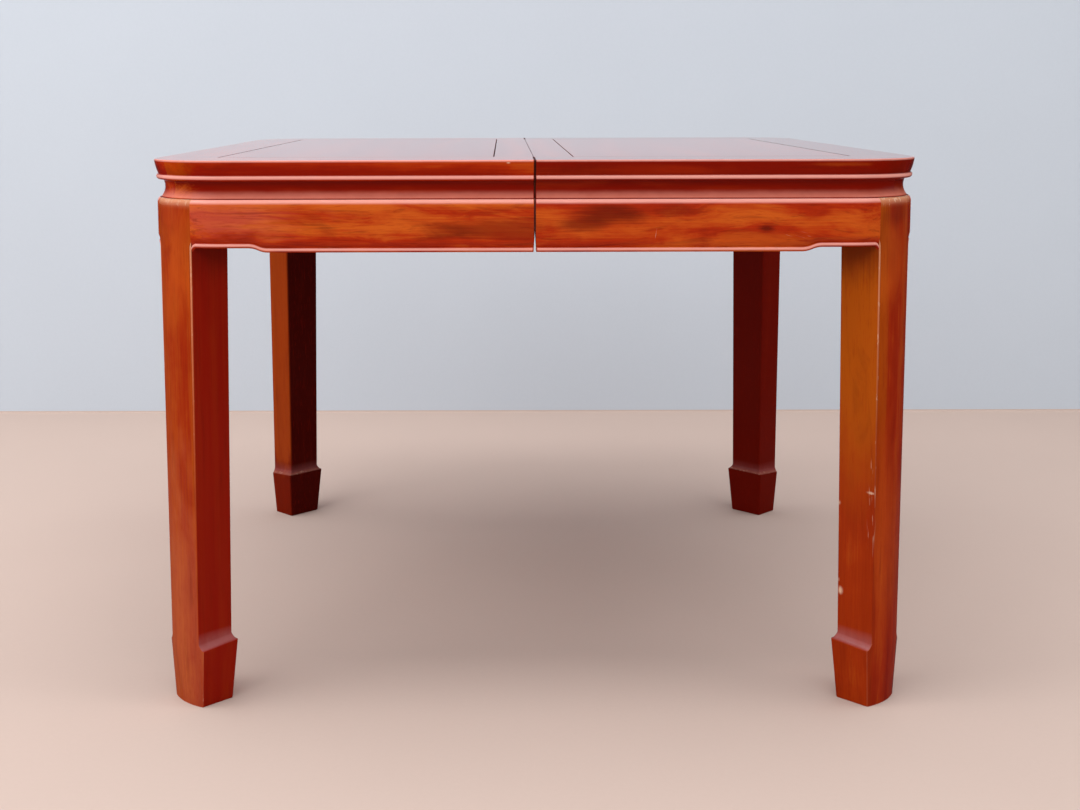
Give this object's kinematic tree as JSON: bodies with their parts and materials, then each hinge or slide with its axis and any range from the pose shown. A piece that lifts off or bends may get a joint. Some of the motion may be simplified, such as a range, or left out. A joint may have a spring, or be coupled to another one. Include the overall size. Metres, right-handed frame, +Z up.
{
  "type": "extending square dining table",
  "caption": "Square lacquered hardwood dining table with framed top, coved waist, beaded aprons and diagonal hoof-foot legs; its halves pull apart on hidden wooden slides.",
  "frame": {"origin": "on the floor, under the middle of the closed table", "axes": "+X along the pull of the right half, +Y towards the back, +Z up"},
  "size_m": [1.064, 1.064, 0.77],
  "materials": {
    "lacquered_frame": "glossy clear lacquer over red-brown hardwood",
    "lacquered_panel": "glossy clear lacquer over red-brown hardwood",
    "lacquered_waist": "glossy clear lacquer over red-brown hardwood",
    "lacquered_apron": "glossy clear lacquer over figured red-brown hardwood",
    "lacquered_leg": "glossy clear lacquer over red-brown hardwood with orange sapwood",
    "plain_hardwood": "planed bare hardwood"
  },
  "bodies": {
    "left_half": {"left_front_stile": "lacquered_frame", "left_back_stile": "lacquered_frame", "left_end_rail": "lacquered_frame", "left_seam_rail": "lacquered_frame", "left_panel": "lacquered_panel", "left_front_batten": "plain_hardwood", "left_back_batten": "plain_hardwood", "left_front_waist": "lacquered_waist", "left_back_waist": "lacquered_waist", "left_end_waist": "lacquered_waist", "left_front_apron": "lacquered_apron", "left_back_apron": "lacquered_apron", "left_end_apron": "lacquered_apron", "left_front_leg": "lacquered_leg", "left_back_leg": "lacquered_leg", "left_tie_rail": "plain_hardwood", "left_front_runner": "plain_hardwood", "left_back_runner": "plain_hardwood", "seam_dowels": "plain_hardwood", "stop_pegs": "plain_hardwood"},
    "right_half": {"right_front_stile": "lacquered_frame", "right_back_stile": "lacquered_frame", "right_end_rail": "lacquered_frame", "right_seam_rail": "lacquered_frame", "right_panel": "lacquered_panel", "right_front_batten": "plain_hardwood", "right_back_batten": "plain_hardwood", "right_front_waist": "lacquered_waist", "right_back_waist": "lacquered_waist", "right_end_waist": "lacquered_waist", "right_front_apron": "lacquered_apron", "right_back_apron": "lacquered_apron", "right_end_apron": "lacquered_apron", "right_front_leg": "lacquered_leg", "right_back_leg": "lacquered_leg", "right_tie_rail": "plain_hardwood", "right_front_runner": "plain_hardwood", "right_back_runner": "plain_hardwood"}
  },
  "joints": [
    {"name": "pull_out", "type": "slide", "parent": "left_half", "child": "right_half", "axis": [1, 0, 0], "range_m": [0, 0.46]}
  ]
}
